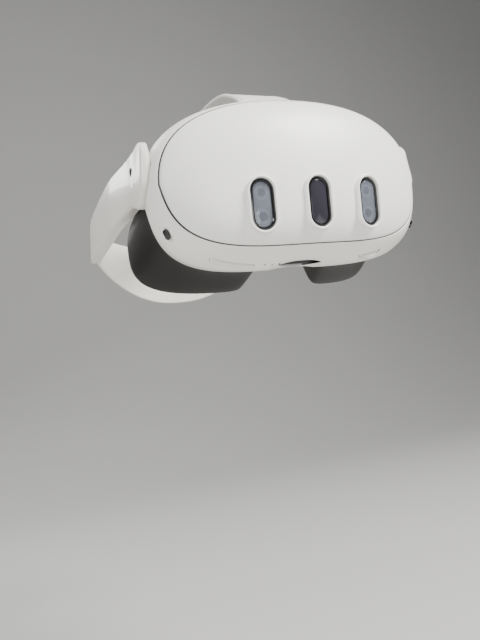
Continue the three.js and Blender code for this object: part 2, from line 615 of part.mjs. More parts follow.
// A section of the arm: flat inside, rounded at its outer edges.
function armSection(y) {
  const [low, high] = armEdges(y);
  const out = armOutside(y);
  const inside = Math.min(armOutside(Math.max(y, 12)) - armDepth(y), out - 0.4);
  const lean = (z) => ARM.lean * (z - (low + high) / 2);
  const r = Math.min(2, (high - low) / 2.2, out - inside - 0.4 - lean(high));
  const corner = (z, from) => steps(3).map((t) => {
    const a = from + (t * Math.PI) / 2;
    return new THREE.Vector3(out - r - lean(z) + r * Math.cos(a), y, z + r * Math.sin(a));
  });
  return [
    new THREE.Vector3(inside, y, low),
    ...corner(low + r, -Math.PI / 2),
    ...corner(high - r, 0),
    new THREE.Vector3(inside, y, high),
  ];
}
function armBody() {
  const front = [0.12, 0.7, 1.7, 3.4, 6, 10, 14].map((d) => ARM_FRONT + d);
  const rest = [24, 31, 38, 45, 52, 60, 70, 82, 95, 110, 125, 140, 155, 170, 185, ARM.rear];
  const body = capped([...front, ...rest].map(armSection));
  const hollow = [46, 60, 70, 82, 95, 125, 150, 170, 185, ARM.rear + 2].map((y) => {
    const [low, high] = armEdges(y);
    const out = armOutside(Math.min(y, ARM.rear)) - ARM.wall;
    const [z0, z1] = [low + ARM.flange, high - ARM.flange];
    const tilt = (ARM.lean * (z1 - z0)) / 2;
    return [[70, z0], [out + tilt, z0], [out - tilt, z1], [70, z1]].map(([x, z]) => new THREE.Vector3(x, y, z));
  });
  const pin_hole = bar("x", PIVOT.pin + 0.3, 70, 86.6, PIVOT.y, PIVOT.z, 16);
  return cut(body.subtract(capped(hollow)), pin_hole);
}
const PORT = { y: 32.5, z: 22 };
const right = (solid) => solid.mirror([1, 0, 0]);
const arm = armBody();
// A socket's outline on the left arm, from one distance out of the middle plane to another.
function socketSlot(half_length, half_height, radius, from, to) {
  const { y, z } = PORT;
  const g = plate(y - half_length, y + half_length, z - half_height, z + half_height, radius, -to, -from);
  return g.rotateZ(Math.PI / 2);
}
const usb_hole = socketSlot(5, 2.1, 2, 81.6, 95);
const jack_hole = bar("x", 2.9, 84, 95, PORT.y, PORT.z, 16);
addPart("arm_left", cut(arm, usb_hole), FINISH.warm_white);
addPart("arm_right", right(cut(arm, jack_hole)), FINISH.warm_white);
const usb = socketSlot(4.6, 1.7, 1.6, 83.6, 88.5);
const usb_mouth = socketSlot(4.2, 1.3, 1.2, 84.4, 95);
const usb_tongue = block(84.2, 87.8, PORT.y - 3.2, PORT.y + 3.2, PORT.z - 0.35, PORT.z + 0.35);
addPart("usb_port", cut(solidOf(usb), usb_mouth).add(solidOf(usb_tongue)), FINISH.metal);
const jack_mouth = bar("x", 1.75, 85.2, 95, PORT.y, PORT.z, 16);
const jack = cut(solidOf(bar("x", 2.5, 84.4, 88.5, PORT.y, PORT.z, 16)), jack_mouth);
addPart("audio_jack", right(jack), FINISH.black);

const pin = join(
  bar("x", PIVOT.pin, 77.4, 86.2, PIVOT.y, PIVOT.z, 16),
  bar("x", 4.6, 76.4, 77.5, PIVOT.y, PIVOT.z, 16),
);
function armCover() {
  const rings = [50, 60, 70, 82, 98].map((y) => {
    const [low, high] = armEdges(y);
    const x = armOutside(y) - armDepth(y) + 0.2;
    const [z0, z1] = [low + ARM.flange + GAP, high - ARM.flange - GAP];
    return [[x, z0], [x + 1, z0], [x + 1, z1], [x, z1]].map(([u, v]) => new THREE.Vector3(u, y, v));
  });
  return capped(rings);
}
const speaker = solidOf(block(86.6, 87.6, 72, 94, 14, 31));
for (const [name, side] of Object.entries(SIDES)) {
  const place = side > 0 ? (s) => s : right;
  addPart(`pivot_pin_${name}`, place(pin), FINISH.steel);
  addPart(`arm_cover_${name}`, place(armCover()), FINISH.warm_white);
  addPart(`speaker_${name}`, place(speaker), FINISH.black);
}

// ---- Strap loop ---------------------------------------------------------------------------------------------------
// The band's centre line in plan: straight legs inside the arms, then round the back of the head.
function loopPoint(t, inset) {
  const half = STRAP.leg - inset;
  const deep = STRAP.back - inset - STRAP.turn;
  const a = (t * Math.PI) / 2;
  const power = 2 / STRAP.roundness;
  return [half * Math.cos(a) ** power, STRAP.turn + deep * Math.sin(a) ** power];
}
function bandEdges(y, back_share) {
  const low = follow(ARM_LOW, y) + ARM.flange + GAP + 0.4;
  const high = follow(ARM_TOP, y - STRAP.slide) - ARM.flange - GAP;
  return [low - 31.5 * smooth(back_share), high - 7 * smooth(back_share)];
}
function bandRing(point, inner, y, back_share) {
  const [low, high] = bandEdges(y, back_share);
  return [[point, low], [point, high], [inner, high], [inner, low]].map(([[u, v], z]) => new THREE.Vector3(u, v, z));
}
function strapBand() {
  const t = STRAP.thickness;
  const leg = (y) => bandRing([STRAP.leg, y], [STRAP.leg - t, y], y, 0);
  const turn = steps(16).slice(1).map((k) => {
    const [px, py] = loopPoint(k, 0);
    const [qx, qy] = loopPoint(k, t);
    const past_turn = (py - STRAP.turn) / (STRAP.back - STRAP.turn) > 0.12;
    return bandRing([px, py], [qx, qy], py, past_turn ? (k - 0.2) / 0.8 : 0);
  });
  const half = [...[STRAP.front, 150, STRAP.turn].map(leg), ...turn];
  const other = half.slice(0, -1).reverse().map((ring) => ring.map((p) => new THREE.Vector3(-p.x, p.y, p.z)));
  return capped([...half, ...other]);
}
addPart("rear_strap", strapBand(), FINISH.white);

// ---- Top strap ----------------------------------------------------------------------------------------------------
// Its path from the visor's anchor over the head, as [y, z].
const TOP_PATH = [
  [20.5, 53.5], [19.4, 57.5], [21, 62], [26, 67], [34, 72.6], [46, 79.4], [62, 84.4], [85, 88.6], [112, 90.5],
  [140, 89], [170, 82.5], [200, 71.5], [228, 57.5], [250, 44],
];
function topStrap() {
  const curve = new THREE.CatmullRomCurve3(TOP_PATH.map(([y, z]) => new THREE.Vector3(0, y, z)));
  const rings = steps(26).map((t) => {
    const p = curve.getPointAt(t);
    const d = curve.getTangentAt(t);
    const n = new THREE.Vector3(0, -d.z, d.y).multiplyScalar(TOP_STRAP.thickness / 2);
    const corner = (x, sign) => new THREE.Vector3(x * TOP_STRAP.half_width, p.y + sign * n.y, p.z + sign * n.z);
    return [corner(-1, -1), corner(1, -1), corner(1, 1), corner(-1, 1)];
  });
  return capped(rings);
}
addPart("top_strap", topStrap(), FINISH.webbing);
const anchor = join(
  block(-22, 22, 18.2, 22.4, 50.4, 52),
  block(-22, -19.8, 18.2, 22.4, 48.9, 51),
  block(19.8, 22, 18.2, 22.4, 48.9, 51),
);
addPart("top_strap_anchor", anchor, FINISH.warm_white);
const buckle = join(
  block(-22, 22, 253, 257, 38.5, 40),
  block(-22, -20, 253, 266, 37.2, 40),
  block(20, 22, 253, 266, 37.2, 40),
);
addPart("rear_buckle", buckle, FINISH.warm_white);

export default group;
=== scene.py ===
# %% [markdown]
# # A stand-alone VR headset
# This lesson dresses a finished mechanical model in smooth shells, soft goods and materials. The frame comes from
# the CAD model, and the sizes below follow that model's, in millimetres. The shells are finer copies of its
# surfaces, and a few edges, such as the seam's and the window lips', are a little bolder than the model's.

# %% The frame
import json
import math

import bpy
from mathutils import Matrix, Vector


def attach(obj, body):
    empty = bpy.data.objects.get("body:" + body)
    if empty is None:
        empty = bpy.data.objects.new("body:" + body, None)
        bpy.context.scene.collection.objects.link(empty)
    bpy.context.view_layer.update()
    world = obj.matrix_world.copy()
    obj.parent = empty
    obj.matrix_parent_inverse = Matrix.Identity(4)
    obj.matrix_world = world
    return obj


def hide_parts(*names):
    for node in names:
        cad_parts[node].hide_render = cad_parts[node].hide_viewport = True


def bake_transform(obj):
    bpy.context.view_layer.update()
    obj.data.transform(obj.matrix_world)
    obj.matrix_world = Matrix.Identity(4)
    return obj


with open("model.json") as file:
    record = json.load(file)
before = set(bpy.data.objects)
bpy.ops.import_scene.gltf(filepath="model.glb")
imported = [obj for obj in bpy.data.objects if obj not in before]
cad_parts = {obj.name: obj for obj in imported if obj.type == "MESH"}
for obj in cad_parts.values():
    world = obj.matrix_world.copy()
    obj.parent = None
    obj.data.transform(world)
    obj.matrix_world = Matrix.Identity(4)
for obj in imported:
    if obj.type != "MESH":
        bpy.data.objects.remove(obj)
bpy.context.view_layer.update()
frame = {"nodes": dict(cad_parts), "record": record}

BODIES = frame["record"]["behaviour"]["bodies"]
BODY_OF = {node: body for body, nodes in BODIES.items() for node in nodes}

# %% [markdown]
# ## The camera
# The headset is seen from a little below and from its right front, with the camera rolled a few degrees. The camera
# comes first, because everything after it is judged through it. Its axes are written as three unit vectors.

# %% Camera
LENS_MM = 32.71
CAMERA_AT = Vector((-0.16384, -0.34670, -0.10653))
CAMERA_RIGHT = Vector((0.9223, -0.3568, -0.1483))
CAMERA_UP = Vector((0.0992, -0.1523, 0.9833))
CAMERA_FORWARD = Vector((0.3734, 0.9217, 0.1051))

scene = bpy.context.scene
camera = bpy.data.objects.new("camera", bpy.data.cameras.new("camera"))
scene.collection.objects.link(camera)
camera.matrix_world = (
    Matrix.Translation(CAMERA_AT) @ Matrix((CAMERA_RIGHT, CAMERA_UP, -CAMERA_FORWARD)).transposed().to_4x4()
)
camera.data.lens = LENS_MM
camera.data.clip_start = 0.01
scene.camera = camera
print("camera", [round(v, 3) for v in camera.location], "lens", LENS_MM)

# %% [markdown]
# ## Helpers for modelling
# An operator works on all that is selected, so each helper starts by deselecting everything. `skin` bends a grid
# primitive through rows of points, `prism` extrudes a flat outline, and `cut` takes cutters out of a piece.

# %% Selection and modifiers
def deselect():
    if bpy.context.object and bpy.context.object.mode != "OBJECT":
        bpy.ops.object.mode_set(mode="OBJECT")
    bpy.ops.object.select_all(action="DESELECT")


def pick(piece):
    deselect()
    piece.select_set(True)
    bpy.context.view_layer.objects.active = piece


def edit(piece):
    pick(piece)
    bpy.ops.object.mode_set(mode="EDIT")
    bpy.ops.mesh.select_all(action="SELECT")


def modify(piece, kind, **settings):
    pick(piece)
    bpy.ops.object.modifier_add(type=kind)
    modifier = piece.modifiers[-1]
    for name, value in settings.items():
        setattr(modifier, name, value)
    bpy.ops.object.modifier_apply(modifier=modifier.name)


def smooth(piece, degrees=35):
    pick(piece)
    bpy.ops.object.shade_smooth_by_angle(angle=math.radians(degrees))


# %% Skins, prisms and cuts
MERGE = 2e-6
RIM_TO_SEAT = 60  # the shells are set out from the visor's rim plane, which is this far ahead of the origin


def mm(x, y, z):
    return Vector((x, y - RIM_TO_SEAT, z)) / 1000


def skin(name, rings):
    """A closed skin through rings of points in millimetres. Each ring ends on the point that it starts from."""
    deselect()
    columns, rows = len(rings[0]) - 1, len(rings) - 1
    bpy.ops.mesh.primitive_grid_add(x_subdivisions=columns, y_subdivisions=rows, size=2)
    piece = bpy.context.object
    piece.name = piece.data.name = name
    for vertex in piece.data.vertices:
        column = round((vertex.co.x + 1) / 2 * columns)
        row = round((vertex.co.y + 1) / 2 * rows)
        vertex.co = mm(*rings[row][column])
    edit(piece)
    bpy.ops.mesh.remove_doubles(threshold=MERGE)
    bpy.ops.mesh.select_all(action="SELECT")
    bpy.ops.mesh.fill_holes(sides=0)
    bpy.ops.mesh.select_all(action="SELECT")
    bpy.ops.mesh.normals_make_consistent(inside=False)
    deselect()
    return piece


def prism(name, outline, depth):
    """A flat outline of points in millimetres, extruded by the depth vector."""
    deselect()
    bpy.ops.mesh.primitive_circle_add(vertices=len(outline), fill_type="NGON")
    piece = bpy.context.object
    piece.name = piece.data.name = name
    for vertex, point in zip(piece.data.vertices, outline):
        vertex.co = mm(*point)
    edit(piece)
    bpy.ops.mesh.extrude_region_move(TRANSFORM_OT_translate={"value": [d / 1000 for d in depth]})
    bpy.ops.mesh.select_all(action="SELECT")
    bpy.ops.mesh.normals_make_consistent(inside=False)
    deselect()
    return piece


def join(pieces):
    deselect()
    for piece in pieces:
        piece.select_set(True)
    bpy.context.view_layer.objects.active = pieces[0]
    bpy.ops.object.join()
    return pieces[0]


def cut(piece, cutters):
    cutter = join(cutters)
    modify(piece, "BOOLEAN", operation="DIFFERENCE", solver="EXACT", use_self=True, object=cutter)
    bpy.data.objects.remove(cutter, do_unlink=True)


def around(point_at, count=160):
    return [point_at(2 * math.pi * (i % count) / count) for i in range(count + 1)]


def spread(low, high, count):
    return [low + (high - low) * i / count for i in range(count + 1)]


def ease(t):
    t = min(1, max(0, t))
    return t * t * (3 - 2 * t)


def finish_piece(piece, body, material, slot, *nodes, degrees=35):
    """The last steps for each piece: its material, smooth shading, the body it rides on, and hiding the CAD parts it
    replaces.
    """
    piece.data.materials.clear()
    piece.data.materials.append(material)
    smooth(piece, degrees)
    if body:
        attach(piece, body)
    if nodes:
        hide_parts(*nodes)
    print(piece.name, len(piece.data.polygons), "faces")
    return piece


# %% [markdown]
# ## Finishes
# Moulded plastic is never one flat colour. Its tool leaves a fine grain that breaks up the highlight, and the
# colour drifts a little over a large shell. One helper lays both over the principled shader, from noise in object
# coordinates, and its numbers are what tells a satin shell from a glossy one.

# %% Moulded plastic and metal
def finish(
    name, colour, roughness, grain_mm=0.5, grain=0.03, drift=0.03, uneven=0.06, stretch=(1, 1, 1), **sockets
):
    """A plastic, metal or glass with a grain so many mm wide and deep, and so uneven in colour and in shine."""
    material = bpy.data.materials.new(name)
    material.use_nodes = True
    nodes, links = material.node_tree.nodes, material.node_tree.links
    shader = nodes["Principled BSDF"]
    for socket, value in sockets.items():
        shader.inputs[socket.replace("_", " ")].default_value = value
    place = nodes.new("ShaderNodeTexCoord")
    mapping = nodes.new("ShaderNodeMapping")
    mapping.inputs["Scale"].default_value = stretch
    links.new(place.outputs["Object"], mapping.inputs["Vector"])

    fine = nodes.new("ShaderNodeTexNoise")
    fine.inputs["Scale"].default_value = 1000 / grain_mm
    fine.inputs["Detail"].default_value = 3
    broad = nodes.new("ShaderNodeTexNoise")
    broad.inputs["Scale"].default_value = 14
    for texture in (fine, broad):
        links.new(mapping.outputs["Vector"], texture.inputs["Vector"])

    tint = nodes.new("ShaderNodeMix")
    tint.data_type = "RGBA"
    tint.inputs["A"].default_value = (*[c * (1 - drift) for c in colour], 1)
    tint.inputs["B"].default_value = (*[min(1, c * (1 + drift)) for c in colour], 1)
    links.new(broad.outputs["Fac"], tint.inputs["Factor"])
    links.new(tint.outputs["Result"], shader.inputs["Base Color"])

    shine = nodes.new("ShaderNodeMapRange")
    shine.inputs["To Min"].default_value = max(0, roughness - uneven)
    shine.inputs["To Max"].default_value = roughness + uneven
    links.new(fine.outputs["Fac"], shine.inputs["Value"])
    links.new(shine.outputs["Result"], shader.inputs["Roughness"])

    bump = nodes.new("ShaderNodeBump")
    bump.inputs["Strength"].default_value = 0.6
    bump.inputs["Distance"].default_value = grain / 1000
    links.new(fine.outputs["Fac"], bump.inputs["Height"])
    links.new(bump.outputs["Normal"], shader.inputs["Normal"])
    return material


COVER_WHITE = finish("cover_white", (0.92, 0.915, 0.88), 0.4, grain_mm=0.35, grain=0.012, drift=0.015)
SHELL_WHITE = finish("shell_white", (0.89, 0.87, 0.82), 0.34, grain_mm=0.3, grain=0.016, drift=0.02)
ARM_WHITE = finish("arm_white", (0.84, 0.80, 0.74), 0.24, grain_mm=0.4, grain=0.01, drift=0.025, Coat_Weight=0.25)
SATIN_BLACK = finish("satin_black", (0.018, 0.018, 0.02), 0.35, grain_mm=0.3, grain=0.02)
GLOSS_BLACK = finish(
    "gloss_black", (0.006, 0.006, 0.007), 0.12, grain_mm=0.8, grain=0.002, uneven=0.03, Coat_Weight=0.6,
)
SMOKED = finish(
    "smoked_glass", (0.03, 0.027, 0.038), 0.1, grain_mm=2, grain=0.001, drift=0.3, uneven=0.03, Coat_Weight=0.5,
)
EYE_PUPIL = finish("camera_eye_pupil", (0.07, 0.075, 0.095), 0.15, grain_mm=1, grain=0.004, drift=0.2)
EYE_RIM = finish("camera_eye_rim", (0.24, 0.26, 0.31), 0.25, grain_mm=1, grain=0.005, drift=0.15)
WELL_GREY = finish("well_grey", (0.13, 0.14, 0.17), 0.4, grain_mm=0.5, grain=0.02, drift=0.1)
BRUSHED = finish(
    "brushed_steel", (0.55, 0.55, 0.56), 0.28, grain_mm=0.4, grain=0.01, stretch=(0.05, 1, 1), Metallic=1.0,
)
SANDED = finish("blasted_aluminium", (0.58, 0.59, 0.61), 0.42, grain_mm=0.25, grain=0.02, Metallic=1.0)
CELL_WRAP = finish("cell_wrap", (0.05, 0.05, 0.055), 0.45, grain_mm=1.5, grain=0.05, drift=0.15)
BOARD_GREEN = finish("board_green", (0.02, 0.12, 0.06), 0.35, grain_mm=1.2, grain=0.04, drift=0.35)
EYE_GLASS = finish(
    "eye_glass", (0.5, 0.55, 0.62), 0.04, grain_mm=3, grain=0.0005, uneven=0.02,
    Transmission_Weight=0.85, IOR=1.5,
)
WINDOW_GLASS = finish(
    "window_glass", (0.22, 0.24, 0.29), 0.08, grain_mm=3, grain=0.0005, drift=0.15, uneven=0.03,
    Alpha=0.38, Coat_Weight=0.8,
)

# %% [markdown]
# ## Cloth and silicone
# The face pad is a soft charcoal skin with the faintest pebble. The head straps are woven: two sets of ribs that
# cross, drawn as waves in object coordinates so that the weave runs along the strap and across it.

# %% Cloth and silicone
def woven(name, colour, rib_mm, depth_mm, roughness=0.85, **sockets):
    material = finish(name, colour, roughness, grain_mm=0.3, grain=0.05, drift=0.05, **sockets)
    nodes, links = material.node_tree.nodes, material.node_tree.links
    place = next(n for n in nodes if n.type == "TEX_COORD")
    old_bump = next(n for n in nodes if n.type == "BUMP")
    ribs = nodes.new("ShaderNodeMath")
    ribs.operation = "MULTIPLY"
    for socket, direction in enumerate(("X", "Y")):
        wave = nodes.new("ShaderNodeTexWave")
        wave.bands_direction = direction
        wave.inputs["Scale"].default_value = 1000 / rib_mm / 20 * (1 if direction == "X" else 0.8)
        wave.inputs["Distortion"].default_value = 0.3
        links.new(place.outputs["Object"], wave.inputs["Vector"])
        links.new(wave.outputs["Fac"], ribs.inputs[socket])
    bump = nodes.new("ShaderNodeBump")
    bump.inputs["Distance"].default_value = depth_mm / 1000
    bump.inputs["Strength"].default_value = 0.8
    links.new(ribs.outputs["Value"], bump.inputs["Height"])
    links.new(old_bump.outputs["Normal"], bump.inputs["Normal"])
    links.new(bump.outputs["Normal"], nodes["Principled BSDF"].inputs["Normal"])
    return material


PAD_SKIN = finish(
    "pad_skin", (0.010, 0.009, 0.008), 0.46, grain_mm=0.5, grain=0.02, drift=0.2, Specular_IOR_Level=0.35,
)
PAD_FOAM = finish("pad_foam", (0.020, 0.018, 0.017), 0.8, grain_mm=0.6, grain=0.12, drift=0.2, Sheen_Weight=0.1)
BAND_WHITE = finish("band_white", (0.82, 0.785, 0.73), 0.45, grain_mm=0.35, grain=0.02, drift=0.03)
WEBBING = woven("webbing", (0.66, 0.65, 0.62), 1.0, 0.15, Sheen_Weight=0.2)
STITCH = finish("stitching", (0.55, 0.54, 0.52), 0.7, grain_mm=0.3, grain=0.1)

# %% [markdown]
# ## The visor's surface
# The front is one injection-moulded dome. Its outline is a superellipse that is fuller below than above, and the
# dome rolls into it ever faster towards the rim, so it is made as a grid that is bent by two formulas. A sculpted or
# subdivided box would not hold a highlight as even as the one on the real shell.

# %% The outline and the dome
HALF_WIDTH, TOP, BOTTOM = 87.2, 50.35, 45.75
ROUND_TOP, ROUND_BOTTOM, NARROWING = 2.585, 3.59, 0.076
DOME_DEPTH, DOME_FLAT, DOME_ROLL, DOME_LEAN = 22.5, 5.38, 2.26, 0.157
BOW_ACROSS, BOW_UP = 0.0019, 0.003
COVER_SHARE_SIDE, COVER_SHARE_END = 0.9377, 0.868  # where the cover ends, as a share of the outline
SEAM = 0.85  # as it looks, with the shells' edges rounded
COVER_WALL = 2.2


def outline(angle):
    c, s = math.cos(angle), math.sin(angle)
    power = 2 / (ROUND_TOP if s >= 0 else ROUND_BOTTOM)
    z = (TOP if s >= 0 else BOTTOM) * math.copysign(abs(s) ** power, s)
    x = HALF_WIDTH * math.copysign(abs(c) ** power, c) * (1 - NARROWING * max(0, -z) / BOTTOM)
    return x, z


def bow(x, z):
    return BOW_ACROSS * x * x + BOW_UP * z * z


def dome(angle, share, back=0):
    ox, oz = outline(angle)
    height = DOME_DEPTH * max(0, 1 - share**DOME_FLAT) ** (1 / DOME_ROLL)
    return ox * share, bow(ox * share, oz * share) - height + back, oz * share + DOME_LEAN * height


def rim(angle, scale, behind, limit=1000):
    ox, oz = outline(angle)
    return max(-limit, min(limit, ox * scale)), bow(ox, oz) + behind, oz * scale


def cover_edge(angle):
    return COVER_SHARE_SIDE + (COVER_SHARE_END - COVER_SHARE_SIDE) * abs(math.sin(angle))


def pill(width, height, step=10):
    """An upright pill as (x, z) points: two half circles, joined by straight sides."""
    r, h = width / 2, height / 2 - width / 2
    arc = [math.radians(d) for d in range(0, 181, step)]
    upper = [(r * math.cos(a), h + r * math.sin(a)) for a in arc]
    return upper + [(-x, -z) for x, z in upper]


# %% [markdown]
# ## Front cover
# On the real headset this is a painted shell with three pill-shaped openings, each ringed by a thin raised lip. The
# shell is skinned from its centre out, round its edge and back in, so that it is closed and has a real wall. The
# openings are cut with boolean prisms, and the lips are bent rings whose feet sink into the shell.

# %% Front cover
WINDOW_Z, WINDOW_WIDTH, WINDOW_HEIGHT, WINDOW_SLOPE = -16.65, 13.5, 27.7, -0.14
WINDOWS = {"right": -33, "centre": 0, "left": 33}


def window_frame(x):
    """The place of a window, and the directions across it, out of it and up it."""
    out = Vector((2 * BOW_ACROSS * x, -1, WINDOW_SLOPE)).normalized()
    across = (Vector((1, 0, 0)) - out * out.x).normalized()
    up = across.cross(-out).normalized()
    return Vector((x, bow(x, WINDOW_Z) - DOME_DEPTH, WINDOW_Z)), across, out, up


def in_window(frame_of, u, w, proud):
    place, across, out, up = frame_of
    return tuple(place + across * u + up * w + out * proud)


def window_prism(name, x, width, height, proud, depth):
    at = window_frame(x)
    outline_points = [in_window(at, u, w, proud) for u, w in pill(width, height)]
    return prism(name, outline_points, -at[2] * depth)


def window_loop(name, x, sections, width=WINDOW_WIDTH, height=WINDOW_HEIGHT):
    """A ring round a window through sections of (inset, proud) points, closed on itself."""
    at = window_frame(x)
    rings = []
    for inset, proud in [*sections, sections[0]]:
        loop = [in_window(at, u, w, proud) for u, w in pill(width - 2 * inset, height - 2 * inset, 6)]
        rings.append([*loop, loop[0]])
    return skin(name, rings)


edge_trim = SEAM / 2 / HALF_WIDTH
shares = [0.001, *spread(0.05, 0.75, 20), *spread(0.78, 0.985, 16)]
edge_round = [(0.992, 0.05), (0.997, 0.2), (1, 0.55), (1, 1.6), (0.995, COVER_WALL)]
inner_shares = [0.9, 0.75, 0.5, 0.25, 0.001]
sections = [*[(k, 0) for k in shares], *edge_round, *[(k, COVER_WALL) for k in inner_shares]]
cover_rings = [around(lambda a: dome(a, (cover_edge(a) - edge_trim) * k, back)) for k, back in sections]
cover = skin("front_cover_shell", cover_rings)
opening = (WINDOW_WIDTH + 0.4, WINDOW_HEIGHT + 0.4)
cut(cover, [window_prism("window_cutter", x, *opening, 4, 14) for x in WINDOWS.values()])
LIP = [(0, -2.6), (0, 0.8), (-0.15, 1.25), (-0.6, 1.45), (-1.1, 1.3), (-1.4, 0.8), (-1.5, 0), (-1.5, -1.6)]
lips = [window_loop(f"window_lip_{side}", x, LIP) for side, x in WINDOWS.items()]
finish_piece(join([cover, *lips]), "visor", COVER_WHITE, "white", "front_cover")

# %% The seam's floor: a black strip, painted shade for the shadow in the gap between cover and housing
# Its section, as shares of half the seam and depths in millimetres.
SEAM_SHADE_SECTION = [(-0.9, 0.75), (0.9, 0.75), (0.9, 1.5), (-0.9, 1.5), (-0.9, 0.75)]
seam_shade_rings = [around(lambda a: dome(a, cover_edge(a) + k * edge_trim, back)) for k, back in SEAM_SHADE_SECTION]
# a black strip that closes the seam's floor: painted shade for the shadow in the gap between cover and housing
finish_piece(skin("painted_seam_shade", seam_shade_rings), "visor", SATIN_BLACK, "black")

# %% [markdown]
# ## Window rings and glasses
# Behind each lip sits a black bezel and a pane. The outer panes are clear enough to show the two camera wells
# behind them, so each gets a grey well with two round eyes, and the middle pane is nearly opaque.

# %% Windows
BEZEL = [(0.3, -1.8), (0.3, -0.1), (0.6, 0.05), (1.5, 0.05), (1.75, -0.15), (1.75, -1.8)]
# Each outer window's eyes: height, radius, material and how far they stand out. The lower pupil is the larger.
EYES = [
    (6.3, 3.9, EYE_RIM, -1.3),
    (-6.3, 3.9, EYE_RIM, -1.3),
    (6.3, 2.2, EYE_PUPIL, -1.25),
    (-6.3, 2.5, EYE_PUPIL, -1.25),
]


def ring_of(radius, count):
    return [(radius * math.cos(a), radius * math.sin(a)) for a in spread(0, 2 * math.pi, count)[:-1]]


for side, x in WINDOWS.items():
    ring = window_loop(f"bezel_{side}", x, BEZEL)
    finish_piece(ring, "visor", GLOSS_BLACK, "black", f"window_ring_{side}")
    pane = window_prism(f"pane_{side}", x, 9.7, 23.9, -0.35, 0.9)
    modify(pane, "BEVEL", width=0.00025, segments=2, limit_method="ANGLE", angle_limit=0.6)
    slot = "window_glass" if x else "dark_glass"
    finish_piece(pane, "visor", WINDOW_GLASS if x else SMOKED, slot, f"window_glass_{side}")
    if x:
        well = window_prism(f"camera_well_{side}", x, 9.6, 23.8, -1.45, 0.3)
        finish_piece(well, "visor", WELL_GREY, "black")
        at = window_frame(x)
        for height, radius, material, proud in EYES:
            name = f"camera_eye_{side}_{'upper' if height > 0 else 'lower'}_{radius:.0f}"
            circle = [in_window(at, u, height + w, proud) for u, w in ring_of(radius, 32)]
            disc = prism(name, circle, -at[2] * 0.25)
            finish_piece(disc, "visor", material, "black")

# %% [markdown]
# ## Main housing
# The housing carries everything. It starts at a thin shadow line round the cover, rolls over the rim and tucks in
# behind it. Pockets for the arms, the nose notch and the slots for the wheel and the keys are cut with prisms, as
# a mould's cores would leave them. Each microphone hole gets a small black plug just under its mouth, painted shade
# for the dark inside of the hole.

# %% Main housing
PIVOT_Y, PIVOT_Z, PIVOT_REACH = 23.5, 14.5, 18
POCKET_FLOOR = 82.9
TILTS = (-2, 6, 14)  # the arm's pocket is cut once for each, so that it clears the arm's whole turn
CAVITY_HALF_WIDTH = 80.4
SIDES = {"left": 1, "right": -1}


def arm_front(t, reach):
    """Heights below and above the pivot of the arm's rounded front, at a share t of its reach."""
    low = reach * max(0, 1 - t**2.4) ** (1 / 2.4)
    high = reach * max(0, 1 - t**3.2) ** (1 / 3.2)
    return PIVOT_Z - low, PIVOT_Z + high


def pocket(side, tilt):
    reach = PIVOT_REACH + 1
    ts = [math.sin(math.radians(d)) for d in range(0, 91, 6)]
    front = [(PIVOT_Y - reach * t, *arm_front(t, reach)) for t in ts]
    points = [(60, front[0][1] + 4), *[(y, low) for y, low, _ in front]]
    points += [*[(y, high) for y, _, high in front[-2::-1]], (60, front[0][2] + 4)]
    c, s = math.cos(math.radians(tilt)), math.sin(math.radians(tilt))
    turned = []
    for y, z in points:
        v, w = y - PIVOT_Y, z - PIVOT_Z
        turned.append((side * POCKET_FLOOR, PIVOT_Y + v * c - w * s, PIVOT_Z + v * s + w * c))
    return prism("pocket", turned, (side * 14, 0, 0))


def rod(name, axis, radius, start, end, u, v, sides=48):
    """A round bar along an axis, as a prism of a circle."""
    places = {
        "X": lambda p, q: (start, u + p, v + q),
        "Y": lambda p, q: (u + p, start, v + q),
        "Z": lambda p, q: (u + p, v + q, start),
    }
    direction = Vector([float(axis == letter) for letter in "XYZ"]) * (end - start)
    return prism(name, [places[axis](p, q) for p, q in ring_of(radius, sides)], direction)


def start_at(angle):
    return cover_edge(angle) + edge_trim


lead = [(0, 1.6), (0, 0.5), (0.004, 0.12), (0.012, 0.02)]
housing_rings = [around(lambda a: dome(a, start_at(a) + k, back)) for k, back in lead]
for k in (0.15, 0.35, 0.55, 0.72, 0.86, 0.95, 1):
    housing_rings.append(around(lambda a: dome(a, start_at(a) + 0.02 + (1 - start_at(a) - 0.02) * k)))
for t in spread(0, 1, 8)[1:]:
    scale = 1 - 0.05 * t**1.7
    housing_rings.append(around(lambda a: rim(a, scale, 15.4 * t)))
housing_rings.append(around(lambda a: rim(a, 0.947, 16)))
housing_rings += [around(lambda a: rim(a, k, y, CAVITY_HALF_WIDTH)) for k, y in ((0.92, 16), (0.945, 4))]
housing_rings += [around(lambda a: dome(a, start_at(a), COVER_WALL + 1)), housing_rings[0]]
housing = skin("main_housing_shell", housing_rings)

arch_line = [(x, -46.75 + 4.6 * (1 - abs(x / 25) ** 2.6)) for x in spread(-25, 25, 40)]
notch = [(-25, -58), *arch_line, (25, -58)]
cutters = [prism("notch", [(x, -30, z) for x, z in notch], (0, 70, 0))]
for side in SIDES.values():
    cutters += [pocket(side, tilt) for tilt in TILTS]
cutters.append(rod("wheel_slot", "Y", 10.1, -0.2, 4.2, 40.5, -35.9, 72))
for x in (-27, -22.5, -18):
    _, surface, _, _ = housing.ray_cast(mm(x, 2.5, -60), (0, 0, 1))
    depth = surface.z * 1000
    cutters.append(rod("microphone", "Z", 0.7, -60, depth + 1.6, x, 2.5, 16))
    # a black plug just under the hole's mouth: painted shade for the dark inside of the hole
    mesh = rod(f"microphone_hole_shade_{-x:.0f}", "Z", 0.66, depth + 0.15, depth + 1.5, x, 2.5, 16)
    finish_piece(mesh, "visor", SATIN_BLACK, "black")
rocker_slot = [(-46 + u, 3.5 + v, -52) for v, u in pill(3.4, 25.8)]
cutters.append(prism("rocker_slot", rocker_slot, (0, 0, 14)))
power_slot = [(95, 20 + w, -13 + u) for u, w in pill(4.4, 9.8)]
cutters.append(prism("power_slot", power_slot, (-18, 0, 0)))
